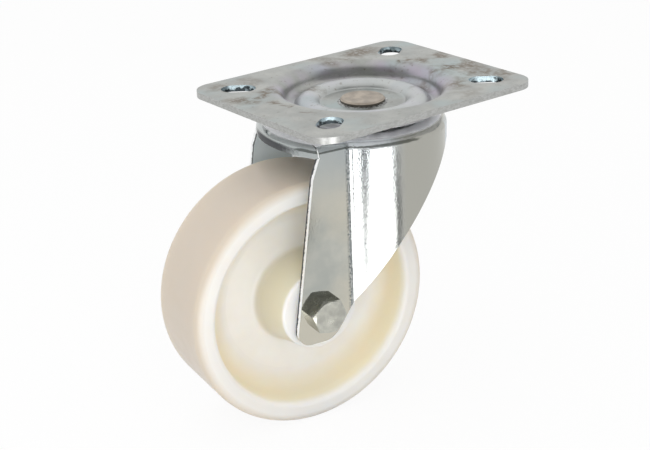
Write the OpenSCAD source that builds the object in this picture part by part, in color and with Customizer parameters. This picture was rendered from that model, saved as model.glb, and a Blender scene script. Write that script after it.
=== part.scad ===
// Swivel castor with a dished top plate, a pressed fork and a solid nylon wheel.
// The origin is the centre of the plate's top face, on the swivel axis. +X runs along the
// plate's long side and the wheel trails towards -X.

/* [Top plate] */
// Length of the plate along X
plate_l = 105; // [98:1:125]
// Width of the plate along Y
plate_w = 85; // [80:1:105]
// Thickness of the plate's sheet
plate_t = 2.5; // [2:0.1:3]
// Radius of the plate's corners
plate_corner = 9; // [4:0.5:12]
// Bolt pitch along X at the outer ends of the slots
bolt_pitch_x = 80; // [78:1:86]
// Bolt pitch along Y at the outer ends of the slots
bolt_pitch_y = 60; // [58:1:66]
// Width of a bolt slot
slot_w = 9; // [8:0.1:10.5]
// Distance a bolt can move along its slot, towards the swivel axis
slot_travel = 4.5; // [2:0.1:5]
// Depth of the dished centre below the top face
dish_depth = 6.8; // [5.5:0.1:7.5]
// Radial width of the dish's S-shaped wall
dish_run = 8; // [7:0.1:9]
// Flat ring between the dish's wall and the ball groove
dish_land = 0.6; // [0.3:0.1:2]

/* [Swivel head] */
// Diameter of an upper ball
upper_ball_d = 6; // [5:0.1:7]
// Radius of the circle that the upper balls run on
upper_pitch_r = 21.5; // [20.5:0.5:23]
// Diameter of a lower ball
lower_ball_d = 5; // [4.5:0.1:5.5]
// Radius of the circle that the lower balls run on
lower_pitch_r = 13.5; // [13:0.1:14]
// Play between a ball and its grooves
race_gap = 0.15; // [0.12:0.01:0.25]
// Smallest play between neighbouring balls
ball_space = 0.5; // [0.3:0.1:1]
// Mid-sheet radius where a groove runs out into flat sheet
groove_blend = 2.2; // [1.8:0.1:2.6]
// Half angle over which the plate's groove wraps the upper balls
plate_wrap = 55; // [48:1:60]
// Half angle over which the crown's groove wraps the upper balls
crown_wrap = 27; // [22:1:34]
// Half angle over which the crown's groove wraps the lower balls
lower_wrap = 35; // [30:1:38]
// Half angle over which the lower race wraps the lower balls
race_wrap = 45; // [40:1:55]
// Thickness of the lower race's sheet
race_t = 2.5; // [2:0.1:3]
// Width of the rim outside the lower race's groove
race_rim = 1.2; // [0.5:0.1:2]
// Diameter of the hole in the fork's crown
crown_hole_d = 19; // [17.5:0.5:19.5]
// Diameter of the king pin in the plate
pin_d = 12; // [10:0.1:13]
// Diameter of the king pin's head
pin_head_d = 17.4; // [15:0.1:20]
// Height of the king pin's head
pin_head_h = 1.7; // [1:0.1:2.5]
// Diameter of the king pin's shoulder between plate and lower race
pin_shoulder_d = 15; // [14:0.1:16]
// Diameter of the king pin's riveted end
pin_end_d = 11; // [9:0.1:12]
// Diameter of the rivet head
rivet_d = 17; // [14:0.1:18]
// Height of the rivet head
rivet_h = 3; // [2:0.1:4]
// Play of the king pin in its holes
pin_fit = 0.05; // [0.02:0.01:0.1]

/* [Fork] */
// Angle to which the fork is turned about the swivel axis
swivel_rest = -8; // [-180:1:180]
// Thickness of the fork's sheet
fork_t = 2.5; // [2:0.1:3]
// Outer radius of the round skirt behind the swivel axis
head_r = 32.4; // [31:0.1:36]
// Radius of the inward fold between a flat leg and the skirt
fold_r = 3; // [2:0.1:5]
// Inside radius of the bend round the crown
bend_r = 0.8; // [0.5:0.1:2]
// Radius of the crown's front edge round the swivel axis
front_r = 41.8; // [40:0.1:45]
// Height of the front lip, from the crown's top
front_lip = 4.4; // [4:0.1:7]
// Height of the skirt at the back, from the crown's top
rear_lip = 9; // [6:0.5:14]
// Distance of the leg's front edge ahead of the axle
leg_front = 10.3; // [9.5:0.1:13]
// Forward lean of the leg's front edge
leg_lean = 8.25; // [6:0.05:10]
// Height below the crown's top where the front edge turns in to the lip
leg_knee = 12; // [8:0.5:20]
// Distance of the leg's lower end below the axle
tip_drop = 12.5; // [11:0.1:16]
// Radius of the leg's lower front corner
tip_front_r = 5.5; // [3:0.1:6.5]
// Radius of the leg's lower rear corner
tip_rear_r = 8; // [6:0.1:9]
// Radius of the hollow rear edge that runs up to the skirt
edge_r = 550; // [400:10:900]
// Slope of the rear edge away from upright at the leg's lower end
edge_angle = 34; // [31:0.5:36]

/* [Wheel] */
// Diameter of the wheel
wheel_d = 100; // [80:1:120]
// Width of the tread
tread_w = 35; // [28:0.5:40]
// Radius of the tread's edges
tread_edge_r = 3.1; // [1:0.1:4]
// Radial thickness of the rim at its side face
rim_t = 8; // [6:0.1:10]
// Radial taper of the rim's inner wall
rim_taper = 2.7; // [1:0.1:4]
// Thickness of the web
web_t = 9; // [6:0.1:14]
// Radius of the rim's inner edge at its side face
rim_edge_r = 2; // [0.5:0.1:2.2]
// Fillet radius between the web and the boss
web_fillet = 2.5; // [1:0.1:4]
// Diameter of the boss where it meets the web
boss_root_d = 38.4; // [34:0.1:44]
// Diameter of the boss at its end
boss_end_d = 31.8; // [24:0.1:33]
// Length of the hub along the axle
hub_len = 44.2; // [40:0.1:50]
// Distance of the axle behind the swivel axis
trail = 34.3; // [30:0.1:40]
// Gap between the tread and the crown's front lip
wheel_clear = 11.6; // [8:0.1:20]

/* [Axle] */
// Diameter of the axle bolt
bolt_d = 8; // [6:0.1:9]
// Play of the bolt in its holes
bolt_fit = 0.1; // [0.05:0.01:0.2]
// Width across the flats of the bolt head and the nut
hex_af = 13; // [12.5:0.1:15]
// Height of the bolt head
bolt_head_h = 5.3; // [4:0.1:7]
// Turn of the bolt head's hexagon
hex_turn = 51; // [0:1:59]
// Height of the nut's hexagon
nut_hex_h = 5.5; // [4:0.1:7]
// Height of the nut's round collar
nut_collar_h = 2.5; // [2:0.1:4]
// Wall of the collar round the nut's locking ring
nut_wall = 0.9; // [0.6:0.1:1.2]
// Radial thickness of the nut's locking ring
lock_ring_t = 0.8; // [0.5:0.1:1]
// Thread standing out of the nut
bolt_over = 2; // [1:0.1:6]
// Outside diameter of the sleeve that the wheel turns on
sleeve_d = 12; // [11.5:0.1:16]
// Running play of the wheel on the sleeve
bore_fit = 0.06; // [0.02:0.01:0.1]
// Play between the hub and each leg
hub_play = 0.4; // [0.2:0.1:1]

/* [Hidden] */
$fn = 96;

// Derived sizes are kept to a thousandth, so that faces meant to meet are at the same place
function fine(x) = round(x * 1000) / 1000;

// Dish, grooves and heights of the swivel head, worked out along the middle of each sheet
dish_angle = 2 * atan(dish_depth / dish_run);
dish_bend = dish_run / (2 * sin(dish_angle));
plate_groove = upper_ball_d / 2 + race_gap + plate_t / 2;
crown_groove = upper_ball_d / 2 + race_gap + fork_t / 2;
lower_groove = lower_ball_d / 2 + race_gap + fork_t / 2;
race_groove = lower_ball_d / 2 + race_gap + race_t / 2;
plate_half = (plate_groove + groove_blend) * sin(plate_wrap);
crown_half = (crown_groove + groove_blend) * sin(crown_wrap);
lower_half = (lower_groove + groove_blend) * sin(lower_wrap);
race_half = (race_groove + groove_blend) * sin(race_wrap);
dish_r = fine(upper_pitch_r + plate_half + dish_land + dish_run);
floor_z = -dish_depth - plate_t / 2;
upper_z = fine(floor_z + groove_blend - (plate_groove + groove_blend) * cos(plate_wrap));
crown_z = fine(upper_z + groove_blend - (crown_groove + groove_blend) * cos(crown_wrap));
lower_z = fine(crown_z + groove_blend - (lower_groove + groove_blend) * cos(lower_wrap));
race_z = fine(lower_z + groove_blend - (race_groove + groove_blend) * cos(race_wrap));
upper_count = floor(2 * PI * upper_pitch_r / (upper_ball_d + ball_space));
lower_count = floor(2 * PI * lower_pitch_r / (lower_ball_d + ball_space));

// Plan of the fork: flat legs, an inward fold each side and a round skirt
crown_top = crown_z + fork_t / 2;
bend_out = bend_r + fork_t;
leg_in = hub_len / 2 + hub_play;
leg_out = leg_in + fork_t;
fold_x = -fine(sqrt(pow(head_r + fold_r, 2) - pow(leg_out + fold_r, 2)));
fold_angle = fine(atan2(leg_out + fold_r, -fold_x));
skirt_angle = 180 - fold_angle;
front_angle = fine(asin(leg_out / front_r));
front_x = -fine(front_r * cos(front_angle));

// Laps that let one length of sheet, or one arc, run into the next
seam = 0.5;
tab = 1.5;
nest = 0.02;
fold_lap = 4;
lip_trim = 0.6;
corner_lap = 0.004;

// Distance by which a cutting shape runs past the face it cuts
overcut = 1;

// Side view of the leg
wheel_r = wheel_d / 2;
axle_z = crown_top - front_lip - wheel_clear - wheel_r;
tip_z = axle_z - tip_drop;
rear_x = head_r + overcut;

// Hexagons and bores
hex_chamfer = 0.05;
hex_r = hex_af / 2 / cos(30);
hex_face_r = (1 - hex_chamfer) * hex_af / 2;
hole_r = bolt_d / 2 + bolt_fit;
lock_ring_r = hole_r + lock_ring_t;
nut_h = nut_hex_h + nut_collar_h;
lock_seat = nut_hex_h - nut_collar_h / 5;
lock_cover = nut_h - nut_collar_h / 4;
collar_turn = 0.4 * lock_ring_t;
bore_r = sleeve_d / 2 + bore_fit;

// Fillet of the rim, which takes up most of the hollow's depth, and edge of the boss
rim_fillet = 0.75 * (tread_w - web_t) / 2;
boss_edge_r = 0.4 * web_fillet;

zinc = [0.74, 0.75, 0.76];
bright_zinc = [0.82, 0.84, 0.85];
bare_steel = [0.68, 0.61, 0.52];
ball_steel = [0.6, 0.61, 0.63];
nylon = [0.93, 0.9, 0.85];

function two_digits(i) = str(i < 10 ? "0" : "", i);
function upper_name(i) = str("upper_ball_", two_digits(i));
function lower_name(i) = str("lower_ball_", two_digits(i));
function on_circle(r, a) = [r * cos(a), r * sin(a)];
function unit(v) = v / norm(v);
function front_edge_x(z) = -trail - leg_front + (z - axle_z) * tan(leg_lean);

// Flat part of a ring between two angles less than half a turn apart
module ring_sector(r_in, r_out, a0, a1) {
    reach = 2 * r_out;
    intersection() {
        difference() {
            circle(r_out);
            circle(r_in);
        }
        polygon([[0, 0], on_circle(reach, a0), on_circle(reach, (a0 + a1) / 2), on_circle(reach, a1)]);
    }
}

// Full slice of a circle between two angles less than half a turn apart
module pie(r, a0, a1) {
    reach = 2 * r;
    intersection() {
        circle(r);
        polygon([[0, 0], on_circle(reach, a0), on_circle(reach, (a0 + a1) / 2), on_circle(reach, a1)]);
    }
}

// Where a point that follows a sheet's path is after one step, as [x, y, heading]
function after_step(step, at) =
    len(step) == 1
    ? [at[0] + step[0] * cos(at[2]), at[1] + step[0] * sin(at[2]), at[2]]
    : let (turn = at[2] + step[1], r = step[0] * sign(step[1]))
      [at[0] + r * (sin(turn) - sin(at[2])), at[1] + r * (cos(at[2]) - cos(turn)), turn];

// Points along a sheet's path, about every five degrees of a bend
function path_points(path, at, i = 0) =
    i == len(path)
    ? [at]
    : concat([at], bend_points(path[i], at), path_points(path, after_step(path[i], at), i + 1));
function bend_points(step, at) =
    len(step) == 1
    ? []
    : let (n = ceil(abs(step[1]) / 5))
      [for (k = [1:n - 1]) after_step([step[0], step[1] * k / n], at)];
function beside(points, off) = [for (p = points) [p[0] - off * sin(p[2]), p[1] + off * cos(p[2])]];
function reverse(v) = [for (i = [len(v) - 1:-1:0]) v[i]];

// Section of a pressed sheet of constant thickness. Each step of the path is [length] or
// [mid-sheet radius, angle], and a positive angle bends to the left
module sheet(path, t, at) {
    points = path_points(path, at);
    polygon(concat(beside(points, t / 2), reverse(beside(points, -t / 2))));
}

// Piece between the corner p of an outline, with neighbours a and b, and the arc that rounds
// it. It runs a little past the corner and both sides, so that none of it lies along them
module corner_piece(p, a, b, r) {
    to_a = unit(a - p);
    to_b = unit(b - p);
    inward = unit(to_a + to_b);
    half = acos(to_a * to_b) / 2;
    run = r / tan(half);
    centre = p + inward * r / sin(half);
    translate(-inward * corner_lap)
        difference() {
            polygon([p - inward * seam, p + to_a * run, centre, p + to_b * run]);
            translate(centre)
                circle(r);
        }
}

module rounded_rectangle(l, w, r) {
    square([l - 2 * r, w], center = true);
    square([l, w - 2 * r], center = true);
    for (x = [-1, 1], y = [-1, 1])
        translate([x * (l / 2 - r), y * (w / 2 - r)])
            circle(r);
}

// Bolt slot that points at the swivel axis
module bolt_slot(x, y) {
    reach = norm([x, y]);
    rotate(atan2(y, x)) {
        translate([reach - slot_travel, -slot_w / 2])
            square([slot_travel, slot_w]);
        for (r = [reach - slot_travel, reach])
            translate([r, 0])
                circle(slot_w / 2);
    }
}

module in_fork() {
    rotate([0, 0, swivel_rest])
        children();
}

// Places a shape whose own +Z points out of the bolt head, along the axle
module on_axle() {
    in_fork()
        translate([-trail, 0, axle_z])
            rotate([90, 0, 0])
                children();
}

module top_plate() {
    hole = pin_d / 2 + pin_fit;
    color(zinc) {
        translate([0, 0, -plate_t])
            linear_extrude(plate_t)
                difference() {
                    rounded_rectangle(plate_l, plate_w, plate_corner);
                    circle(dish_r);
                    for (x = [-1, 1], y = [-1, 1])
                        bolt_slot(x * bolt_pitch_x / 2, y * bolt_pitch_y / 2);
                }
        rotate_extrude()
            sheet([
                [seam],
                [dish_bend, dish_angle],
                [dish_bend, -dish_angle],
                [dish_land],
                [groove_blend, -plate_wrap],
                [plate_groove, 2 * plate_wrap],
                [groove_blend, -plate_wrap],
                [upper_pitch_r - plate_half - hole]
            ], plate_t, [dish_r + seam, -plate_t / 2, 180]);
    }
}

module king_pin() {
    floor_top = floor_z + plate_t / 2;
    floor_under = floor_z - plate_t / 2;
    race_top = race_z + race_t / 2;
    race_under = race_z - race_t / 2;
    edge = 0.35 * pin_head_h;
    dome_h = 0.8 * rivet_h;
    dome_r = (pow(rivet_d / 2, 2) + pow(dome_h, 2)) / (2 * dome_h);
    color(bare_steel) {
        rotate_extrude()
            polygon([
                [0, floor_top + pin_head_h],
                [pin_head_d / 2 - edge, floor_top + pin_head_h],
                [pin_head_d / 2, floor_top + pin_head_h - edge],
                [pin_head_d / 2, floor_top],
                [pin_d / 2, floor_top],
                [pin_d / 2, floor_under],
                [pin_shoulder_d / 2, floor_under],
                [pin_shoulder_d / 2, race_top],
                [pin_end_d / 2, race_top],
                [pin_end_d / 2, race_under - rivet_h / 2],
                [0, race_under - rivet_h / 2]
            ]);
        translate([0, 0, race_under - rivet_h])
            intersection() {
                translate([0, 0, dome_r])
                    sphere(dome_r);
                cylinder(h = rivet_h, d = rivet_d);
            }
    }
}

module lower_race() {
    hole = pin_end_d / 2 + pin_fit;
    color(bright_zinc)
        rotate_extrude()
            sheet([
                [lower_pitch_r - race_half - hole],
                [groove_blend, -race_wrap],
                [race_groove, 2 * race_wrap],
                [groove_blend, -race_wrap],
                [race_rim]
            ], race_t, [hole, race_z, 0]);
}

// Side view of both legs and the skirt: X runs along the fork, Y is up
module leg_outline() {
    knee_z = crown_top - leg_knee;
    front_c = [front_edge_x(tip_z + tip_front_r) + tip_front_r / cos(leg_lean), tip_z + tip_front_r];
    rear_c = [-trail, tip_z + tip_rear_r];
    edge_dir = on_circle(1, -edge_angle);
    difference() {
        polygon([
            [front_x, crown_top],
            [front_x, crown_top - bend_out],
            [front_edge_x(knee_z), knee_z],
            front_c + on_circle(tip_front_r, 180 - leg_lean),
            front_c,
            [front_c[0], tip_z],
            [rear_c[0], tip_z],
            rear_c,
            rear_c + edge_dir * (tip_rear_r + overcut),
            [rear_x, rear_c[1]],
            [rear_x, crown_top]
        ]);
        translate(rear_c + edge_dir * (tip_rear_r + edge_r))
            circle(edge_r, $fn = 720);
    }
    translate(front_c)
        pie(tip_front_r, 180 - leg_lean, 270);
    translate(rear_c)
        pie(tip_rear_r, -90, -edge_angle);
    translate([0, crown_top - rear_lip])
        square([rear_x, rear_lip]);
}

// Section of the fork's bent wall: X runs inwards from the outer face and Y is up from the
// crown's top. The bend ends in a tab inside the crown, and a thinner section can run into a
// thicker one
module wall_section(depth, thin = 0) {
    translate([thin, -depth])
        square([fork_t - 2 * thin, depth - bend_out]);
    translate([bend_out, -bend_out])
        ring_sector(bend_r + thin, bend_out - thin, 90, 180);
    translate([bend_out, thin - fork_t])
        square([tab, fork_t - 2 * thin]);
}

// Upright wall of the skirt and of the two folds, cut along the rear edge
module skirt() {
    depth = crown_top - tip_z;
    intersection() {
        rotate([0, 0, -skirt_angle])
            rotate_extrude(angle = 2 * skirt_angle)
                translate([head_r, 0])
                    mirror([1, 0])
                        wall_section(depth);
        side_cut();
    }
    for (side = [0, 1])
        mirror([0, side, 0])
            intersection() {
                translate([fold_x, -leg_out - fold_r, 0])
                    rotate([0, 0, fold_angle - fold_lap])
                        rotate_extrude(angle = 90 - fold_angle + 2 * fold_lap)
                            translate([fold_r, 0])
                                wall_section(depth, nest);
                side_cut();
            }
}

module side_cut() {
    translate([0, 0, -crown_top])
        rotate([90, 0, 0])
            linear_extrude(3 * head_r, center = true)
                leg_outline();
}

// Flat leg and the bend above it, on the side of the bolt head
module leg() {
    intersection() {
        translate([0, -leg_in, -crown_top])
            rotate([90, 0, 0])
                linear_extrude(fork_t)
                    leg_outline();
        translate([fold_x - wheel_d, -2 * leg_out, -2 * wheel_d - bend_out])
            cube([wheel_d, 2 * leg_out, 2 * wheel_d]);
    }
    translate([front_x - seam, -leg_out, 0])
        rotate([90, 0, 90])
            linear_extrude(fold_x - front_x + seam)
                wall_section(bend_out + seam);
}

// Flat of the crown, out to the tabs of the bends round it
module crown_flat() {
    lap = bend_out + tab / 2;
    translate([0, 0, -fork_t])
        linear_extrude(fork_t)
            difference() {
                union() {
                    circle(head_r - lap);
                    intersection() {
                        circle(front_r - lap);
                        translate([-front_r, lap - leg_out])
                            square([front_r, 2 * (leg_out - lap)]);
                    }
                }
                circle(upper_pitch_r + crown_half);
            }
}

// Two ball grooves round the king pin's hole
module crown_grooves() {
    hole = crown_hole_d / 2;
    rotate_extrude()
        sheet([
            [lower_pitch_r - lower_half - hole],
            [groove_blend, lower_wrap],
            [lower_groove, -2 * lower_wrap],
            [groove_blend, lower_wrap],
            [upper_pitch_r - crown_half - lower_pitch_r - lower_half],
            [groove_blend, -crown_wrap],
            [crown_groove, 2 * crown_wrap],
            [groove_blend, -crown_wrap],
            [seam]
        ], fork_t, [hole, -fork_t / 2, 0]);
}

// Turned-down front edge of the crown
module lip() {
    half = front_angle - lip_trim;
    rotate([0, 0, 180 - half])
        rotate_extrude(angle = 2 * half)
            translate([front_r, 0])
                mirror([1, 0])
                    wall_section(front_lip);
}

module fork() {
    color(bright_zinc)
        in_fork()
            translate([0, 0, crown_top])
                difference() {
                    union() {
                        crown_flat();
                        crown_grooves();
                        skirt();
                        lip();
                        leg();
                        mirror([0, 1, 0])
                            leg();
                    }
                    translate([-trail, 0, axle_z - crown_top])
                        rotate([90, 0, 0])
                            cylinder(h = 4 * leg_out, r = hole_r, center = true);
                }
}

// Hexagon with its outer corners turned off
module hexagon(h) {
    reach = hex_r + overcut;
    slope = (reach - hex_face_r) * tan(30);
    intersection() {
        cylinder(h = h, r = hex_r, $fn = 6);
        rotate_extrude()
            polygon([
                [0, 0],
                [reach, 0],
                [reach, h - slope],
                [hex_face_r, h],
                [0, h]
            ]);
    }
}

module axle_bolt() {
    tip = leg_out + nut_h + bolt_over;
    point = 0.12 * bolt_d;
    color(bright_zinc)
        on_axle() {
            translate([0, 0, leg_out])
                rotate([0, 0, hex_turn])
                    hexagon(bolt_head_h);
            rotate_extrude()
                polygon([
                    [0, -tip],
                    [bolt_d / 2 - point, -tip],
                    [bolt_d / 2, -tip + point],
                    [bolt_d / 2, leg_out],
                    [0, leg_out]
                ]);
        }
}

module axle_nut() {
    collar_r = lock_ring_r + nut_wall;
    color(bright_zinc)
        on_axle()
            translate([0, 0, -leg_out])
                mirror([0, 0, 1])
                    difference() {
                        union() {
                            hexagon(nut_hex_h);
                            rotate_extrude()
                                polygon([
                                    [0, 0],
                                    [collar_r, 0],
                                    [collar_r, lock_cover],
                                    [collar_r - nut_wall, nut_h],
                                    [0, nut_h]
                                ]);
                        }
                        rotate_extrude()
                            polygon([
                                [0, -overcut],
                                [hole_r, -overcut],
                                [hole_r, lock_seat],
                                [lock_ring_r, lock_seat],
                                [lock_ring_r, lock_cover],
                                [lock_ring_r - collar_turn, nut_h + overcut],
                                [0, nut_h + overcut]
                            ]);
                    }
}

module nut_lock_ring() {
    color("ivory")
        on_axle()
            translate([0, 0, -leg_out])
                mirror([0, 0, 1])
                    rotate_extrude()
                        translate([hole_r, lock_seat])
                            square([lock_ring_t, lock_cover - lock_seat]);
}

module axle_sleeve() {
    color(ball_steel)
        on_axle()
            difference() {
                cylinder(h = 2 * leg_in, d = sleeve_d, center = true);
                cylinder(h = 3 * leg_in, r = hole_r, center = true);
            }
}

// Half of the wheel's section, from the middle of the web outwards: X is the radius, Y the axle
module wheel_half_section() {
    mid = [wheel_r, 0];
    shoulder = [wheel_r, tread_w / 2];
    recess = [wheel_r - rim_t, tread_w / 2];
    rim_root = [wheel_r - rim_t - rim_taper, web_t / 2];
    boss_root = [boss_root_d / 2, web_t / 2];
    boss_end = [boss_end_d / 2, hub_len / 2];
    bore_end = [bore_r, hub_len / 2];
    difference() {
        union() {
            polygon([[bore_r, 0], mid, shoulder, recess, rim_root, boss_root, boss_end, bore_end]);
            corner_piece(rim_root, recess, boss_root, rim_fillet);
            corner_piece(boss_root, rim_root, boss_end, web_fillet);
        }
        corner_piece(shoulder, mid, recess, tread_edge_r);
        corner_piece(recess, shoulder, rim_root, rim_edge_r);
        corner_piece(boss_end, boss_root, bore_end, boss_edge_r);
    }
}

module wheel() {
    color(nylon)
        on_axle()
            rotate_extrude()
                for (side = [0, 1])
                    mirror([0, side])
                        wheel_half_section();
}

module upper_ball(i) {
    color(ball_steel)
        rotate([0, 0, 360 * i / upper_count])
            translate([upper_pitch_r, 0, upper_z])
                sphere(d = upper_ball_d);
}

module lower_ball(i) {
    color(ball_steel)
        rotate([0, 0, 360 * i / lower_count])
            translate([lower_pitch_r, 0, lower_z])
                sphere(d = lower_ball_d);
}

top_plate();
king_pin();
lower_race();
fork();
axle_bolt();
axle_nut();
nut_lock_ring();
axle_sleeve();
wheel();
for (i = [1:upper_count])
    upper_ball(i);
for (i = [1:lower_count])
    lower_ball(i);
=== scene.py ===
import math
import random

import bpy
from mathutils import Matrix, Vector


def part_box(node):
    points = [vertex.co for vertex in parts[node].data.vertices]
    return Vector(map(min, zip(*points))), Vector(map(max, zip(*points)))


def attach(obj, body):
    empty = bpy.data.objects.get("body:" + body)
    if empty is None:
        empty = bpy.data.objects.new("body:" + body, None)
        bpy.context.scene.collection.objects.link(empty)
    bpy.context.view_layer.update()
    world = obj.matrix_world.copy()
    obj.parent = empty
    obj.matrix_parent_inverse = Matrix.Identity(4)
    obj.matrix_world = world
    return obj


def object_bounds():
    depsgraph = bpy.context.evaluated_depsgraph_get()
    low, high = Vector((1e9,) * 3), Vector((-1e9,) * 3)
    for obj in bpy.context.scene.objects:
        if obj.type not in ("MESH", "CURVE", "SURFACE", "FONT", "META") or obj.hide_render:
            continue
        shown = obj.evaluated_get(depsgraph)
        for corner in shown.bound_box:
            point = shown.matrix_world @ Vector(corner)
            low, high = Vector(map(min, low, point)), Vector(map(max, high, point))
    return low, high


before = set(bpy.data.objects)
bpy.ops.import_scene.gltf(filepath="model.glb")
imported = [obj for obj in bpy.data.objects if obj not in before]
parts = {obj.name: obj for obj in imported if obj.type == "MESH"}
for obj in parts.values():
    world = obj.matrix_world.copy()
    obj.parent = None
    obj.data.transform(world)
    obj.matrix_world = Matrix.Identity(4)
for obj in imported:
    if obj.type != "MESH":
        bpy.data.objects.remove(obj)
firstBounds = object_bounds()
print("frame loaded:", len(parts), "pieces")

origin = (0, 0, 0)  # top of the plate, on the king pin's line
up = (0, 0, 1)
down = (0, 0, -1)

view = {
    "place": (-0.32501, -0.40449, 0.15684),
    "azimuth": -36.98,
    "elevation": 22.52,
    "roll": -2.09,
    "lens": 77.5,
    "sensor": 36,
    "nearest": 0.01,
}


def placeCamera(settings):
    azimuth = math.radians(settings["azimuth"])
    elevation = math.radians(settings["elevation"])
    back = Vector((
        math.sin(azimuth) * math.cos(elevation),
        -math.cos(azimuth) * math.cos(elevation),
        math.sin(elevation),
    ))
    right = Vector(up).cross(back).normalized()
    turn = Matrix((right, back.cross(right), back)).transposed()
    turn = turn @ Matrix.Rotation(math.radians(settings["roll"]), 3, "Z")
    data = bpy.data.cameras.new("photo_camera")
    data.lens = settings["lens"]
    data.sensor_width = settings["sensor"]
    data.clip_start = settings["nearest"]
    camera = bpy.data.objects.new("photo_camera", data)
    camera.matrix_world = Matrix.Translation(settings["place"]) @ turn.to_4x4()
    bpy.context.scene.collection.objects.link(camera)
    bpy.context.scene.camera = camera


placeCamera(view)
print("camera placed")


# small helpers for node trees
def addNode(tree, kind, inputs=None, **settings):
    made = tree.nodes.new(kind)
    for key, value in settings.items():
        setattr(made, key, value)
    for key, value in (inputs or {}).items():
        if isinstance(value, bpy.types.NodeSocket):
            tree.links.new(value, made.inputs[key])
        else:
            made.inputs[key].default_value = value
    return made


def noise(tree, coord, scale, detail=3.0, rough=0.55, stretch=None):
    if stretch:
        coord = addNode(tree, "ShaderNodeMapping", {"Vector": coord, "Scale": stretch}).outputs["Vector"]
    made = addNode(tree, "ShaderNodeTexNoise", {
        "Vector": coord, "Scale": scale, "Detail": detail, "Roughness": rough,
    })
    return made.outputs["Fac"]


def remap(tree, value, low, high, start=0.0, end=1.0):
    made = addNode(tree, "ShaderNodeMapRange", {
        "Value": value, "From Min": low, "From Max": high, "To Min": start, "To Max": end,
    })
    return made.outputs["Result"]


# a cloud is a row of two: what noise takes, then what remap takes
def mottle(tree, coord, cloud):
    grain, levels = cloud
    return remap(tree, noise(tree, coord, *grain), *levels)


def math1(tree, operation, value):
    return addNode(tree, "ShaderNodeMath", {0: value}, operation=operation).outputs[0]


def math2(tree, operation, first, second):
    return addNode(tree, "ShaderNodeMath", {0: first, 1: second}, operation=operation).outputs[0]


def vectorMath(tree, operation, *values):
    made = addNode(tree, "ShaderNodeVectorMath", dict(enumerate(values)), operation=operation)
    return made.outputs["Value" if operation in ("DOT_PRODUCT", "DISTANCE", "LENGTH") else "Vector"]


def mixColour(tree, factor, first, second):
    made = addNode(tree, "ShaderNodeMix", {0: factor}, data_type="RGBA")
    for key, value in ((6, first), (7, second)):  # colour sockets A and B
        if isinstance(value, bpy.types.NodeSocket):
            tree.links.new(value, made.inputs[key])
        else:
            made.inputs[key].default_value = (*value, 1.0)
    return made.outputs[2]


def blankMaterial(name):
    made = bpy.data.materials.new(name)
    made.use_nodes = True
    tree = made.node_tree
    shader = next(n for n in tree.nodes if n.type == "BSDF_PRINCIPLED")
    coord = addNode(tree, "ShaderNodeTexCoord").outputs["Object"]
    return made, tree, shader, coord


# how far a face looks in a direction, in the piece's own frame
def facing(tree, direction):
    normal = addNode(tree, "ShaderNodeNewGeometry").outputs["True Normal"]
    turned = addNode(tree, "ShaderNodeVectorTransform", {"Vector": normal},
                     vector_type="NORMAL", convert_from="WORLD", convert_to="OBJECT").outputs[0]
    return vectorMath(tree, "DOT_PRODUCT", turned, direction)


# distance from a start point, measured in one direction
def along(tree, coord, start, direction):
    return vectorMath(tree, "DOT_PRODUCT", vectorMath(tree, "SUBTRACT", coord, start), direction)


def flatten(tree, coord):
    return vectorMath(tree, "MULTIPLY", coord, (1, 1, 0))


def wire(tree, shader, **sockets):
    for name, socket in sockets.items():
        tree.links.new(socket, shader.inputs[name.replace("_", " ")])


def addBump(tree, shader, height, strength, distance):
    made = addNode(tree, "ShaderNodeBump", {"Height": height, "Strength": strength, "Distance": distance})
    wire(tree, shader, Normal=made.outputs["Normal"])


def dress(names, material):
    for name in names:
        slots = parts[name].material_slots
        if not slots:
            parts[name].data.materials.append(material)
        for slot in slots:
            slot.material = material


# bends coordinates, so that round spots get ragged outlines
def warp(tree, coord, scale, amount):
    swirl = addNode(tree, "ShaderNodeTexNoise", {"Vector": coord, "Scale": scale, "Detail": 2.0}).outputs["Color"]
    centred = vectorMath(tree, "SUBTRACT", swirl, (0.5, 0.5, 0.5))
    return vectorMath(tree, "MULTIPLY_ADD", centred, (amount, amount, amount), coord)


# spots of stain: middle x, y in metres, radius and strength
def spotMask(tree, coord, spots, soft):
    total = None
    flat = flatten(tree, coord)
    for x, y, radius, strength in spots:
        away = vectorMath(tree, "DISTANCE", flat, (x, y, 0))
        spot = remap(tree, away, radius, radius * soft, 0.0, strength)
        total = spot if total is None else math2(tree, "MAXIMUM", total, spot)
    return total


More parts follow.
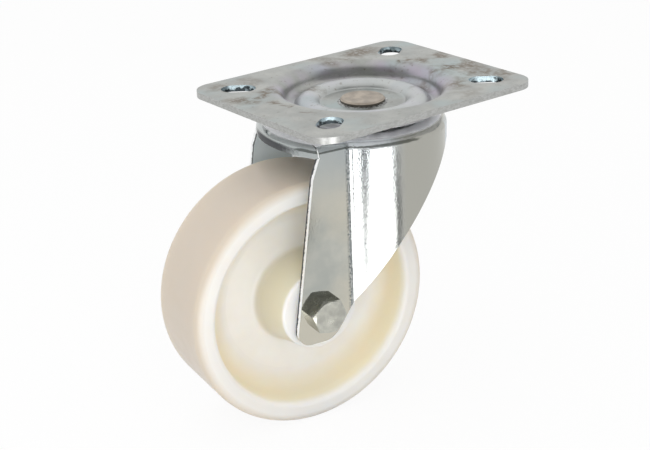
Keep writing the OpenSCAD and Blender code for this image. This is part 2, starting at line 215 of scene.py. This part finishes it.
plateLook = {
    "dark": (0.31, 0.32, 0.305),
    "pale": (0.475, 0.48, 0.455),
    "lavender": (0.45, 0.41, 0.49),
    "teal": (0.39, 0.47, 0.475),
    "edge": (0.47, 0.475, 0.465),
    "edgeDark": (0.37, 0.375, 0.36),
    # painted highlight: a paler ring on the crest of the ball groove
    "crestHighlight": (0.66, 0.69, 0.695),
    "stain": (0.12, 0.08, 0.04),
    # painted light: the pale, dull underside lifts the shade under the plate
    "underPaintedLight": (0.73, 0.74, 0.76),
    "wallLight": (0.46, 0.56, 0.60),
    # painted shade: near-black lower part of the slot walls
    "wallShade": (0.04, 0.05, 0.055),
    "broad": (70, 5, 0.62),  # scale, detail, roughness
    "broadLevels": (0.36, 0.64),
    "roughLevels": (0.3, 0.7, 0.30, 0.46),
    "metallicLevels": (0.0, 1.0, 0.92, 0.35),  # less on the underside
    "lavenderCloud": ((45, 2), (0.42, 0.60, 0.0, 0.85)),
    "tealCloud": ((38, 2, 0.5, (1, 1.3, 2)), (0.48, 0.68, 0.0, 0.7)),
    "patches": ((480, 5, 0.7), (0.34, 0.53)),
    "specks": ((620, 3, 0.6), (0.62, 0.72, 0.0, 0.5)),
    "sawn": ((650, 3, 0.65, (1, 1, 2.2)), (0.38, 0.62)),
    "tornAndShade": ((420, 3, 0.6), (0.30, 0.70, -0.5, 0.5)),
    "tornAndShadeHeight": (-0.0025, 0.0, -0.5, 0.5),
    "tornAndShadeLevels": (-0.20, 0.10),
    "dishOuter": (0.037, 0.032),  # radii over which a tone fades
    "dishInner": (0.016, 0.020),
    "crestOuter": (0.0285, 0.0265),
    "crestInner": (0.0150, 0.0185, 0.0, 0.5),
    "facesDown": (-0.5, -0.9),
    "facesSide": (0.35, 0.10),
    "slot": (0.0382, 0.02865, 0.0),
    "slotReach": (0.0090, 0.0080),
    "grain": (2100, 2, 0.6),
    "grainBump": (0.12, 0.0001),  # strength, depth
    "stainBend": (130, 0.02),  # scale, amount
    "stainSoft": 0.25,
    "stains": (
        (-0.0331, 0.0177, 0.007, 0.95), (-0.048, 0.0146, 0.008, 0.8), (-0.0423, 0.0338, 0.006, 0.5),
        (-0.030, 0.033, 0.006, 0.4), (0.028, 0.036, 0.010, 0.85), (0.036, 0.030, 0.007, 0.6),
        (0.0375, 0.010, 0.007, 0.9), (0.0488, 0.0094, 0.006, 0.8), (0.0395, -0.008, 0.009, 0.95),
        (0.0465, -0.011, 0.007, 0.8), (0.0435, -0.020, 0.007, 0.8), (0.0267, -0.0241, 0.008, 0.7),
        (0.020, -0.037, 0.007, 0.4), (-0.011, 0.0193, 0.006, 0.6), (0.0253, -0.0048, 0.006, 0.6),
        (0.011, 0.036, 0.007, 0.5), (-0.0364, 0.0155, 0.0045, 0.95), (-0.038, 0.0049, 0.0035, 0.8),
        (-0.0382, -0.0017, 0.003, 0.7), (-0.0366, -0.0124, 0.003, 0.55), (0.0156, 0.0348, 0.003, 0.6),
        (0.0332, 0.0164, 0.004, 0.85), (0.0376, 0.0121, 0.004, 0.9), (0.0391, 0.0065, 0.004, 0.85),
        (0.0272, -0.0264, 0.006, 0.7), (0.0479, 0.0103, 0.005, 0.8), (0.0512, -0.0081, 0.005, 0.8),
        (0.0416, -0.0300, 0.006, 0.7), (0.0490, -0.0276, 0.005, 0.7),
    ),
}


def plateZinc(look):
    made, tree, shader, coord = blankMaterial("plate_zinc")
    broad = noise(tree, coord, *look["broad"])
    colour = mixColour(tree, remap(tree, broad, *look["broadLevels"]), look["dark"], look["pale"])
    # tints in the dish, and a painted highlight on the crest of the ball groove
    flat = flatten(tree, coord)
    radius = vectorMath(tree, "LENGTH", flat)
    dished = math2(tree, "MULTIPLY", remap(tree, radius, *look["dishOuter"]), remap(tree, radius, *look["dishInner"]))
    tint = math2(tree, "MULTIPLY", dished, mottle(tree, coord, look["lavenderCloud"]))
    colour = mixColour(tree, tint, colour, look["lavender"])
    crestHighlight = math2(tree, "MULTIPLY", remap(tree, radius, *look["crestOuter"]), remap(tree, radius, *look["crestInner"]))
    colour = mixColour(tree, crestHighlight, colour, look["crestHighlight"])
    colour = mixColour(tree, mottle(tree, coord, look["tealCloud"]), colour, look["teal"])
    # stains and specks
    spots = spotMask(tree, warp(tree, coord, *look["stainBend"]), look["stains"], look["stainSoft"])
    stained = math2(tree, "MULTIPLY", spots, mottle(tree, coord, look["patches"]))
    stained = math2(tree, "MAXIMUM", stained, mottle(tree, coord, look["specks"]))
    colour = mixColour(tree, stained, colour, look["stain"])
    # underside painted pale and less metallic, painted light that lifts the shade under the plate; then the cut edges
    lookUp = facing(tree, up)
    underPaintedLight = remap(tree, lookUp, *look["facesDown"])
    colour = mixColour(tree, underPaintedLight, colour, look["underPaintedLight"])
    cutEdge = remap(tree, math1(tree, "ABSOLUTE", lookUp), *look["facesSide"])
    edge = mixColour(tree, mottle(tree, coord, look["sawn"]), look["edgeDark"], look["edge"])
    colour = mixColour(tree, cutEdge, colour, edge)
    # walls of the four slots, torn and darker below; the near-black lower part is painted shade in the slot
    away = vectorMath(tree, "DISTANCE", vectorMath(tree, "ABSOLUTE", flat), look["slot"])
    wall = math2(tree, "MULTIPLY", cutEdge, remap(tree, away, *look["slotReach"]))
    height = along(tree, coord, origin, up)
    tornAndShade = math2(tree, "ADD", remap(tree, height, *look["tornAndShadeHeight"]), mottle(tree, coord, look["tornAndShade"]))
    bare = mixColour(tree, remap(tree, tornAndShade, *look["tornAndShadeLevels"]), look["wallShade"], look["wallLight"])
    colour = mixColour(tree, wall, colour, bare)
    wire(tree, shader, Base_Color=colour, Roughness=remap(tree, broad, *look["roughLevels"]),
         Metallic=remap(tree, underPaintedLight, *look["metallicLevels"]))
    addBump(tree, shader, noise(tree, coord, *look["grain"]), *look["grainBump"])
    return made


forkLook = {
    "dark": (0.40, 0.415, 0.385),
    "pale": (0.51, 0.51, 0.46),
    "warm": (0.56, 0.53, 0.445),
    "blue": (0.36, 0.405, 0.425),
    "skirt": (0.47, 0.49, 0.495),
    "rear": (0.385, 0.38, 0.335),
    # painted shade in the crease along the fold
    "foldShade": (0.12, 0.14, 0.145),
    # painted light: pale tones that lift the shade on the crown and inside the fork
    "crown": (0.97, 0.97, 0.98),
    "inside": (0.69, 0.75, 0.775),
    # painted shade and painted highlight on the legs' cut front edge
    "cutFaceShade": (0.06, 0.065, 0.07),
    "cutEdgeHighlight": (0.95, 0.96, 0.96),
    "broad": (60, 5, 0.6),
    "broadLevels": (0.36, 0.64),
    "roughLevels": (0.3, 0.7, 0.07, 0.12),
    "metallicLevels": (0.0, 1.0, 0.95, 0.35),
    "dullRough": 0.55,
    "crownRough": 0.5,
    "crownDull": 0.7,
    "warmCloud": ((34, 3), (0.34, 0.60, 0.0, 0.85)),
    "blueHeight": (-0.040, -0.016, 0.0, 0.7),
    "skirtStart": (0.0224, 0.0220, 0.0, 0.8),  # distances ahead of the pin
    "rearStart": (0.007, 0.001, 0.0, 0.85),
    "fold": 0.0221,
    "foldReach": (0.0013, 0.0003),
    "foldShadeCloud": ((1300, 3, 0.7), (0.38, 0.62, 0.0, 0.9)),
    "facesUp": (0.90, 0.99),
    "facesDown": (0.6, 0.9),
    "facesAhead": (0.8, 0.6),
    "facesCut": (0.90, 0.97),
    "insideReach": (0.0230, 0.0227),  # distances beside the pin
    "insideTop": (-0.0125, -0.0150),
    "shearReach": (0.0233, 0.0237),
    "shearWave": ((900, 2, 0.6), (0.3, 0.7, -0.0003, 0.0003)),
    "grain": (1300, 2, 0.6),
    "grainStrength": 0.9,
    "grainDepth": (-0.075, -0.020, 0.000025, 0.00008),  # by height
    "grainOnLeg": (0.0222, 0.0226, 1.0, 0.25),
    "ahead": (-0.9902681, 0.1391731, 0.0),
    "side": (0.1391731, 0.9902681, 0.0),
    "lean": 8.25,
}


def forkZinc(look):
    made, tree, shader, coord = blankMaterial("fork_zinc")
    broad = noise(tree, coord, *look["broad"])
    colour = mixColour(tree, remap(tree, broad, *look["broadLevels"]), look["dark"], look["pale"])
    colour = mixColour(tree, mottle(tree, coord, look["warmCloud"]), colour, look["warm"])
    height = along(tree, coord, origin, up)
    colour = mixColour(tree, remap(tree, height, *look["blueHeight"]), colour, look["blue"])
    forward = along(tree, coord, origin, look["ahead"])
    colour = mixColour(tree, remap(tree, forward, *look["skirtStart"]), colour, look["skirt"])
    colour = mixColour(tree, remap(tree, forward, *look["rearStart"]), colour, look["rear"])
    # painted shade: a speckled dark band in the crease along the fold between leg and skirt
    nearFold = math1(tree, "ABSOLUTE", math2(tree, "SUBTRACT", forward, look["fold"]))
    foldShade = math2(tree, "MULTIPLY", remap(tree, nearFold, *look["foldReach"]), mottle(tree, coord, look["foldShadeCloud"]))
    colour = mixColour(tree, foldShade, colour, look["foldShade"])
    # painted light: the crown, the inner faces and the faces that look down are painted pale and less metallic to lift
    # the shade under the plate
    crown = remap(tree, facing(tree, up), *look["facesUp"])
    beside = math1(tree, "ABSOLUTE", along(tree, coord, origin, look["side"]))
    inside = math2(tree, "MULTIPLY", remap(tree, beside, *look["insideReach"]), remap(tree, height, *look["insideTop"]))
    inside = math2(tree, "MULTIPLY", inside, remap(tree, facing(tree, look["ahead"]), *look["facesAhead"]))
    inside = math2(tree, "MAXIMUM", inside, remap(tree, facing(tree, down), *look["facesDown"]))
    colour = mixColour(tree, inside, mixColour(tree, crown, colour, look["crown"]), look["inside"])
    # sheared front edge of the legs: a painted highlight along its outer side, painted shade on the rest of the cut
    # face
    lean = math.radians(look["lean"])
    outward = [c * math.cos(lean) for c in look["ahead"]]
    outward[2] = math.sin(lean)
    cut = remap(tree, facing(tree, outward), *look["facesCut"])
    across = math2(tree, "ADD", beside, mottle(tree, coord, look["shearWave"]))
    edge = mixColour(tree, remap(tree, across, *look["shearReach"]), look["cutFaceShade"], look["cutEdgeHighlight"])
    colour = mixColour(tree, cut, colour, edge)
    # gloss
    dull = math2(tree, "MAXIMUM", inside, cut)
    rough = remap(tree, broad, *look["roughLevels"])
    rough = math2(tree, "MAXIMUM", rough, remap(tree, dull, 0.0, 1.0, 0.0, look["dullRough"]))
    rough = math2(tree, "MAXIMUM", rough, remap(tree, crown, 0.0, 1.0, 0.0, look["crownRough"]))
    plain = math2(tree, "MAXIMUM", dull, remap(tree, crown, 0.0, 1.0, 0.0, look["crownDull"]))
    wire(tree, shader, Base_Color=colour, Roughness=rough, Metallic=remap(tree, plain, *look["metallicLevels"]))
    depth = remap(tree, height, *look["grainDepth"])
    depth = math2(tree, "MULTIPLY", depth, remap(tree, forward, *look["grainOnLeg"]))
    addBump(tree, shader, noise(tree, coord, *look["grain"]), look["grainStrength"], depth)
    return made


metalBase = {
    "scale": 90,
    "levels": (0.35, 0.65),
    "grain": (2200, 2, 0.6),
    "grainStrength": 0.1,
    "grainDepth": 0.0001,
    "metallic": 0.95,
    # the side tone is painted shade; the pin uses it for the dark side of its head
    "side": None,  # tone of upright faces, where they have their own
    "facesSide": (0.60, 0.30),
}
metalLooks = {
    "race_zinc": {"dark": (0.36, 0.37, 0.38), "pale": (0.48, 0.48, 0.47), "rough": (0.28, 0.42)},
    "bolt_zinc": {"dark": (0.385, 0.385, 0.345), "pale": (0.53, 0.53, 0.47), "rough": (0.18, 0.30), "scale": 160},
    "pin_steel": {"dark": (0.29, 0.25, 0.205), "pale": (0.50, 0.44, 0.37), "rough": (0.38, 0.55), "scale": 240,
                  "grainStrength": 0.2, "metallic": 0.6, "side": (0.15, 0.135, 0.115)},
    "sleeve_steel": {"dark": (0.38, 0.38, 0.38), "pale": (0.50, 0.50, 0.49), "rough": (0.25, 0.40)},
    "ball_steel": {"dark": (0.52, 0.53, 0.55), "pale": (0.64, 0.64, 0.66), "rough": (0.06, 0.12), "scale": 200,
                   "grainStrength": 0.02},
    "stake_zinc": {"dark": (0.12, 0.12, 0.115), "pale": (0.60, 0.61, 0.60), "rough": (0.30, 0.45), "scale": 800},
}


def metal(name):
    look = {**metalBase, **metalLooks[name]}
    made, tree, shader, coord = blankMaterial(name)
    broad = noise(tree, coord, look["scale"], 4, 0.6)
    colour = mixColour(tree, remap(tree, broad, *look["levels"]), look["dark"], look["pale"])
    # painted shade on upright faces
    if look["side"]:
        upright = math1(tree, "ABSOLUTE", facing(tree, up))
        colour = mixColour(tree, remap(tree, upright, *look["facesSide"]), colour, look["side"])
    wire(tree, shader, Base_Color=colour, Roughness=remap(tree, broad, 0.3, 0.7, *look["rough"]))
    addBump(tree, shader, noise(tree, coord, *look["grain"]), look["grainStrength"], look["grainDepth"])
    shader.inputs["Metallic"].default_value = look["metallic"]
    return made


dress(["top_plate"], plateZinc(plateLook))
dress(["fork"], forkZinc(forkLook))
dress(["lower_race"], metal("race_zinc"))
boltMetal = metal("bolt_zinc")
dress(["axle_bolt", "axle_nut"], boltMetal)
dress(["king_pin"], metal("pin_steel"))
dress(["axle_sleeve"], metal("sleeve_steel"))
dress([name for name in parts if "_ball_" in name], metal("ball_steel"))
print("metals done")

wheelLook = {
    "cream": (0.84, 0.81, 0.765),
    "pale": (0.88, 0.865, 0.835),
    # pinker tone with painted shade: the tread is darker than the sides
    "tread": (0.585, 0.52, 0.44),
    # painted glow: amber where light shines through the thick nylon rim
    "amber": (0.86, 0.785, 0.625),
    # olive tint on the boss, partly painted shade
    "olive": (0.64, 0.595, 0.43),
    # painted sheen and shade: a cooler, darker grey on the rim's side face
    "rim": (0.735, 0.72, 0.695),
    "axle": (-0.0339662, 0.0047736, -0.078067),
    "spin": (0.1391731, 0.9902681, 0.0),
    "broad": ((42, 3), (0.35, 0.65)),
    "rough": ((180, 3), (0.3, 0.7, 0.30, 0.42)),
    "grain": (900, 2),
    "grainBump": (0.04, 0.0001),
    "amberReach": (0.033, 0.0395),  # radii from the axle, depths from its middle
    "amberDepth": (0.0172, 0.0140),
    "bossReach": (0.0202, 0.0185, 0.0, 0.8),
    "bossDepth": (0.0218, 0.0205),
    "rimReach": (0.0415, 0.0440),
    "rimDepth": (0.0165, 0.0180),
    "treadReach": (0.0465, 0.0495),
    "scatter": 0.016,
    "scatterWeight": 0.85,
    "scatterRadius": (1.0, 0.86, 0.68),
    "ior": 1.5,
}


def wheelNylon(look):
    made, tree, shader, coord = blankMaterial("wheel_nylon")
    colour = mixColour(tree, mottle(tree, coord, look["broad"]), look["cream"], look["pale"])
    beside = along(tree, coord, look["axle"], look["spin"])
    spread = vectorMath(tree, "DISTANCE", coord, look["axle"])
    radius = math1(tree, "SQRT", math2(tree, "SUBTRACT", math2(tree, "POWER", spread, 2.0),
                                       math2(tree, "POWER", beside, 2.0)))
    depth = math1(tree, "ABSOLUTE", beside)
    # painted light: amber glow in the rim, olive tint with painted shade on the boss, painted sheen on the rim's side
    # face
    for tone, zone in (("amber", "amber"), ("olive", "boss"), ("rim", "rim")):
        mask = math2(tree, "MULTIPLY", remap(tree, radius, *look[zone + "Reach"]),
                     remap(tree, depth, *look[zone + "Depth"]))
        colour = mixColour(tree, mask, colour, look[tone])
    # darker, pinker tread: partly painted shade
    colour = mixColour(tree, remap(tree, radius, *look["treadReach"]), colour, look["tread"])
    wire(tree, shader, Base_Color=colour, Roughness=mottle(tree, coord, look["rough"]))
    addBump(tree, shader, noise(tree, coord, *look["grain"]), *look["grainBump"])
    shader.inputs["Subsurface Weight"].default_value = look["scatterWeight"]
    shader.inputs["Subsurface Radius"].default_value = look["scatterRadius"]
    shader.inputs["Subsurface Scale"].default_value = look["scatter"]
    shader.inputs["IOR"].default_value = look["ior"]
    return made


dress(["wheel"], wheelNylon(wheelLook))

ringLook = {
    "dark": (0.62, 0.63, 0.65),
    "pale": (0.72, 0.73, 0.75),
    "cloud": ((400, 3), (0.35, 0.65)),
    "rough": 0.45,
}


def ringPlastic(look):
    made, tree, shader, coord = blankMaterial("lock_ring_plastic")
    wire(tree, shader, Base_Color=mixColour(tree, mottle(tree, coord, look["cloud"]), look["dark"], look["pale"]))
    shader.inputs["Roughness"].default_value = look["rough"]
    return made


dress(["nut_lock_ring"], ringPlastic(ringLook))
print("wheel and lock ring done")


# floor, reflection cards and lamps
def emptyMaterial(name):
    made = bpy.data.materials.new(name)
    made.use_nodes = True
    made.node_tree.nodes.clear()
    return made, made.node_tree


def seenRays(tree):
    rays = addNode(tree, "ShaderNodeLightPath").outputs
    seen = math2(tree, "MAXIMUM", rays["Is Camera Ray"], rays["Is Glossy Ray"])
    return math2(tree, "MAXIMUM", seen, rays["Is Transmission Ray"])


def floorMaterial(settings):
    made, tree = emptyMaterial("floor_white")
    share = math2(tree, "MULTIPLY", seenRays(tree), settings["floorShare"])
    coord = addNode(tree, "ShaderNodeTexCoord").outputs["Object"]
    colour = settings["floorTone"]
    darker = tuple(c * settings["floorMottle"] for c in colour)
    soft = addNode(tree, "ShaderNodeBsdfDiffuse", {
        "Color": mixColour(tree, mottle(tree, coord, settings["floorCloud"]), colour, darker),
    })
    shine = addNode(tree, "ShaderNodeEmission", {"Color": (1, 1, 1, 1), "Strength": 1.0})
    both = addNode(tree, "ShaderNodeMixShader", {0: share, 1: soft.outputs[0], 2: shine.outputs[0]})
    out = addNode(tree, "ShaderNodeOutputMaterial")
    tree.links.new(both.outputs[0], out.inputs["Surface"])
    return made


def cardMaterial(name, colour, strength):
    made, tree = emptyMaterial(name)
    shine = addNode(tree, "ShaderNodeEmission", {"Color": (*colour, 1), "Strength": strength})
    out = addNode(tree, "ShaderNodeOutputMaterial")
    tree.links.new(shine.outputs[0], out.inputs["Surface"])
    return made


def stageMesh(name, points, faces, material, cardOnly=False):
    mesh = bpy.data.meshes.new(name)
    mesh.from_pydata(points, [], faces)
    mesh.materials.append(material)
    made = bpy.data.objects.new(name, mesh)
    bpy.context.scene.collection.objects.link(made)
    if cardOnly:  # seen in reflections only
        made.visible_camera = False
        made.visible_diffuse = False
        made.visible_shadow = False
        made.visible_transmission = False


studio = {
    "floorHalf": 2.5,
    "floorTone": (0.94, 0.94, 0.94),
    "floorMottle": 0.985,
    "floorCloud": ((6,), (0.3, 0.7)),
    "floorShare": 0.92,
    "ambient": 0.67,
    "cardLift": 0.0006,
    "cards": (  # outline on the floor, layer, colour, strength
        ("front_card", ((-0.040, -0.090), (-0.015, -0.141), (0.009, -0.200), (0.015, -0.261), (0.012, -0.293),
                        (0.004, -0.318), (0.000, -0.700), (-0.700, -0.450), (-0.140, -0.060)),
         1, (1.0, 1.0, 1.0), 3.5),
        ("card_edge", ((-0.022, -0.141), (-0.005, -0.190), (0.001, -0.215), (0.000, -0.261), (-0.004, -0.293),
                       (-0.012, -0.318), (-0.018, -0.360), (0.044, -0.360), (0.042, -0.300), (0.038, -0.255),
                       (0.034, -0.222), (0.018, -0.190), (-0.004, -0.148)),
         2, (0.30, 0.305, 0.305), 1.0),
        ("camera_flag", ((-0.100, -0.118), (-0.134, -0.147), (-0.161, -0.175), (-0.182, -0.195), (-0.205, -0.217),
                         (-0.229, -0.235), (-0.249, -0.255), (-0.444, -0.460), (-0.366, -0.550), (-0.186, -0.300),
                         (-0.171, -0.275), (-0.162, -0.251), (-0.154, -0.219), (-0.146, -0.188), (-0.124, -0.155),
                         (-0.098, -0.120)),
         2, (0.20, 0.215, 0.225), 1.0),
    ),
    "roomFlag": {
        "distance": 1.3,
        "turns": (-205, -50),
        "rises": (3, 60),
        "steps": 12,
        "colour": (0.25, 0.255, 0.245),
    },
    "lamps": (  # place, width, power, colour
        ("key_lamp", (-0.45, -0.90, 0.70), 0.9, 2.8, (1.0, 0.985, 0.96)),
        ("low_lamp", (-0.52, -0.85, -0.02), 0.7, 2.1, (0.99, 0.99, 1.0)),
        ("left_lamp", (-1.0, -0.12, 0.40), 0.7, 2.2, (1.0, 0.99, 0.97)),
        ("top_lamp", (-0.15, 0.25, 1.1), 0.9, 2.4, (0.97, 0.985, 1.0)),
    ),
}
floorZ = firstBounds[0].z


def buildFloor(settings):
    half = settings["floorHalf"]
    corners = [(-half, -half, floorZ), (half, -half, floorZ), (half, half, floorZ), (-half, half, floorZ)]
    stageMesh("floor", corners, [(0, 1, 2, 3)], floorMaterial(settings))


# flat cards on the floor, and a curved grey wall that only reflections see
def buildCards(settings):
    for name, outline, layer, colour, strength in settings["cards"]:
        points = [(x, y, floorZ + layer * settings["cardLift"]) for x, y in outline]
        stageMesh(name, points, [tuple(range(len(points)))], cardMaterial(name, colour, strength), True)
    flag = settings["roomFlag"]
    steps = flag["steps"]
    points = []
    for rise in flag["rises"]:
        reach = flag["distance"] * math.cos(math.radians(rise))
        high = flag["distance"] * math.sin(math.radians(rise))
        for i in range(steps + 1):
            turn = math.radians(flag["turns"][0] + (flag["turns"][1] - flag["turns"][0]) * i / steps)
            points.append((reach * math.cos(turn), reach * math.sin(turn), high))
    faces = [(i, i + 1, i + steps + 2, i + steps + 1) for i in range(steps)]
    stageMesh("room_flag", points, faces, cardMaterial("room_flag", flag["colour"], 1.0), True)


def buildLamps(settings):
    for name, place, width, power, colour in settings["lamps"]:
        data = bpy.data.lights.new(name, "AREA")
        data.size = width
        data.energy = power
        data.color = colour
        lamp = bpy.data.objects.new(name, data)
        aim = Vector(place).to_track_quat("Z", "Y").to_matrix().to_4x4()
        lamp.matrix_world = Matrix.Translation(place) @ aim
        lamp.visible_glossy = False
        bpy.context.scene.collection.objects.link(lamp)


# white where the camera or a reflection sees it, dimmer as light on the part
def buildWorld(settings):
    world = bpy.data.worlds.new("studio")
    bpy.context.scene.world = world
    world.use_nodes = True
    tree = world.node_tree
    tree.nodes.clear()
    seen = seenRays(tree)
    dim = addNode(tree, "ShaderNodeBackground", {"Color": (1, 1, 1, 1), "Strength": settings["ambient"]})
    white = addNode(tree, "ShaderNodeBackground", {"Color": (1, 1, 1, 1), "Strength": 1.0})
    both = addNode(tree, "ShaderNodeMixShader", {0: seen, 1: dim.outputs[0], 2: white.outputs[0]})
    out = addNode(tree, "ShaderNodeOutputWorld")
    tree.links.new(both.outputs[0], out.inputs["Surface"])


buildFloor(studio)
buildCards(studio)
buildLamps(studio)
buildWorld(studio)
bpy.context.scene.view_settings.view_transform = "Standard"
print("studio done")


# visible detail that the solids leave out
def addPiece(name, points, faces, material, body):
    mesh = bpy.data.meshes.new(name)
    mesh.from_pydata(points, [], faces)
    mesh.materials.append(material)
    mesh.update()
    for face in mesh.polygons:
        face.use_smooth = False
    made = bpy.data.objects.new(name, mesh)
    bpy.context.scene.collection.objects.link(made)
    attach(made, body)
    return made


threadLook = {
    "radius": 0.00398,
    "ridge": 0.00014,
    "pitch": 0.00125,
    "visible": 0.0021,
    "chamfer": 0.0009,  # plain length at the bolt's end
    "profile": ((-0.45, 0.0), (0.0, 1.0), (0.45, 0.0)),  # pitches along, ridges high
    "steps": 36,
    "fadeSteps": 8,
}


def buildThread(look, axle, spin):
    axis = Vector(spin).normalized()
    side = axis.cross(Vector(up)).normalized()
    rise = side.cross(axis)
    low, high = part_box("axle_bolt")
    ends = [Vector((x, y, axle[2])) for x in (low[0], high[0]) for y in (low[1], high[1])]
    far = max((p - Vector(axle)).dot(axis) for p in ends) - look["chamfer"]
    count = int(look["visible"] / look["pitch"] * look["steps"])
    points = []
    for i in range(count + 1):
        angle = 2 * math.pi * i / look["steps"]
        at = far - look["visible"] + look["pitch"] * i / look["steps"]
        fade = min(1.0, i / look["fadeSteps"], (count - i) / look["fadeSteps"])
        for shift, lift in look["profile"]:
            reach = look["radius"] + look["ridge"] * lift * fade
            points.append(Vector(axle) + axis * (at + shift * look["pitch"])
                          + (side * math.cos(angle) + rise * math.sin(angle)) * reach)
    faces = []
    for i in range(count):
        for k in (0, 1):
            a = 3 * i + k
            faces.append((a, a + 1, a + 4, a + 3))
    made = addPiece("bolt_thread", points, faces, boltMetal, "fork")


buildThread(threadLook, wheelLook["axle"], wheelLook["spin"])

stakesLook = {
    "inner": 0.0085,
    "outer": 0.0099,
    "height": 0.00045,
    "lowShare": 0.35,  # every other stake is lower
    "heightShake": (0.75, 1.15),
    "outerShake": (-0.00015, 0.0002),
    "slope": 0.0003,
    "slopeShare": 0.8,
    "sunk": 0.0001,
    "drop": 0.0017,  # from the pin's top to the dish's floor
    "count": 30,
    "seed": 7,
}


def buildStakes(look):
    shake = random.Random(look["seed"])
    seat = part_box("king_pin")[1][2] - look["drop"]
    points = []
    faces = []
    steps = look["count"] * 2
    for i in range(steps):
        turn = 2 * math.pi * i / steps
        tall = look["height"] * (1.0 if i % 2 else look["lowShare"]) * shake.uniform(*look["heightShake"])
        outer = look["outer"] + shake.uniform(*look["outerShake"])
        for reach, lift in ((look["inner"], tall), (outer - look["slope"], tall * look["slopeShare"]),
                            (outer, -look["sunk"])):
            points.append((reach * math.cos(turn), reach * math.sin(turn), seat + lift))
    for i in range(steps):
        for k in (0, 1):
            a = 3 * i + k
            b = 3 * ((i + 1) % steps) + k
            faces.append((a, a + 1, b + 1, b))
    made = addPiece("pin_stakes", points, faces, metal("stake_zinc"), "plate")


buildStakes(stakesLook)
print("thread and pin stakes done")
